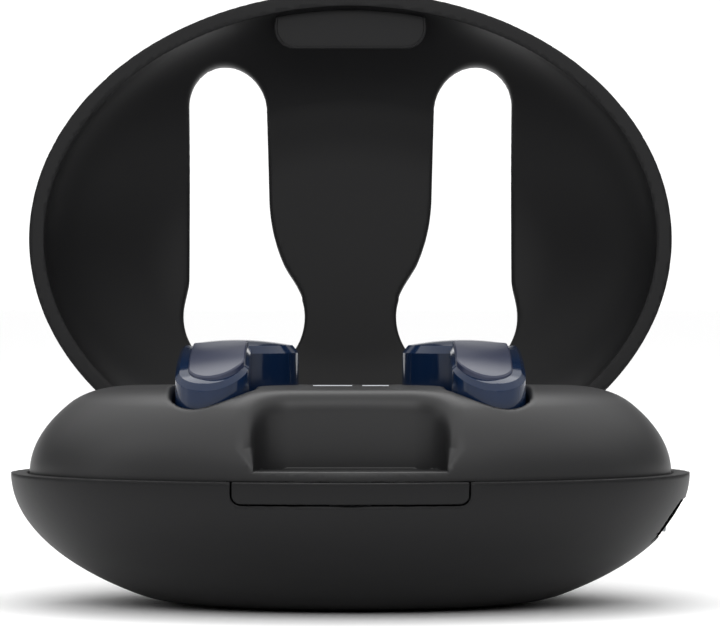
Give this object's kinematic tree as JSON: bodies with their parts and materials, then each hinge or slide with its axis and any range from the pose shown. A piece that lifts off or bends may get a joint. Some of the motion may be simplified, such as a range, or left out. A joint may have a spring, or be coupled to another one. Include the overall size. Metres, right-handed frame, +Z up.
{
  "type": "wireless earbuds case",
  "caption": "Oval flip-lid charging case with long windows in its lid over two earbuds, a notched tray, a front button and an end charging port.",
  "frame": {"origin": "centre of the flat foot under the base", "axes": "+Z up, -Y towards the front button, +X towards the charging port"},
  "size_m": [0.075, 0.0757, 0.0699],
  "materials": {
    "soft_touch_black": "soft-touch matt",
    "tray_black": "fine matt moulding",
    "navy_gloss": "high gloss navy",
    "face_gloss": "satin pearl over navy",
    "silicone": "satin silicone",
    "steel": "bright",
    "nickel": "nickel plate",
    "gold": "gold plate",
    "circuit_board": "solder mask",
    "cell_wrap": "foil wrap",
    "black_nylon": "moulded nylon",
    "cream_plastic": "moulded",
    "light_pipe": "frosted light pipe"
  },
  "bodies": {
    "base": {"base_shell": "soft_touch_black", "tray": "tray_black", "hinge_bracket": "soft_touch_black", "hinge_pin": "steel", "hinge_screws": "steel", "tray_magnets": "nickel", "tact_switch": "steel", "battery": "cell_wrap", "main_board": "circuit_board", "board_screws": "steel", "usb_board": "circuit_board", "usb_screws": "steel", "usb_shell": "steel", "usb_tongue": "black_nylon", "light_pipes": "light_pipe", "status_leds": "light_pipe", "led_board": "circuit_board", "pogo_carrier_left": "black_nylon", "pogo_carrier_right": "black_nylon", "pogo_pins_left": "gold", "pogo_pins_right": "gold", "cradle_magnet_left": "nickel", "cradle_magnet_right": "nickel"},
    "lid": {"lid_shell": "soft_touch_black", "lid_arm_left": "soft_touch_black", "lid_arm_right": "soft_touch_black", "lid_boss": "soft_touch_black", "lid_magnets": "nickel"},
    "front_button": {"front_button": "soft_touch_black", "switch_plunger": "cream_plastic"},
    "earbud_left": {"earbud_body_left": "navy_gloss", "earbud_face_left": "face_gloss", "earbud_drum_left": "navy_gloss", "ear_tip_left": "silicone", "nozzle_mesh_left": "steel", "earbud_contacts_left": "gold", "earbud_driver_left": "steel", "earbud_battery_left": "nickel", "earbud_board_left": "circuit_board"},
    "earbud_right": {"earbud_body_right": "navy_gloss", "earbud_face_right": "face_gloss", "earbud_drum_right": "navy_gloss", "ear_tip_right": "silicone", "nozzle_mesh_right": "steel", "earbud_contacts_right": "gold", "earbud_driver_right": "steel", "earbud_battery_right": "nickel", "earbud_board_right": "circuit_board"}
  },
  "joints": [
    {"name": "lid_hinge", "type": "hinge", "parent": "base", "child": "lid", "pos_m": [0, 0.0254, 0.0155], "axis": [1, 0, 0], "range_deg": [0, 100]},
    {"name": "front_button_press", "type": "slide", "parent": "base", "child": "front_button", "axis": [0, 1, 0], "range_m": [0, 0.0006], "stiffness_N_per_m": 2500},
    {"name": "earbud_left_lift", "type": "slide", "parent": "base", "child": "earbud_left", "axis": [0, 0, 1], "range_m": [0, 0.022]},
    {"name": "earbud_right_lift", "type": "slide", "parent": "base", "child": "earbud_right", "axis": [0, 0, 1], "range_m": [0, 0.022]}
  ]
}
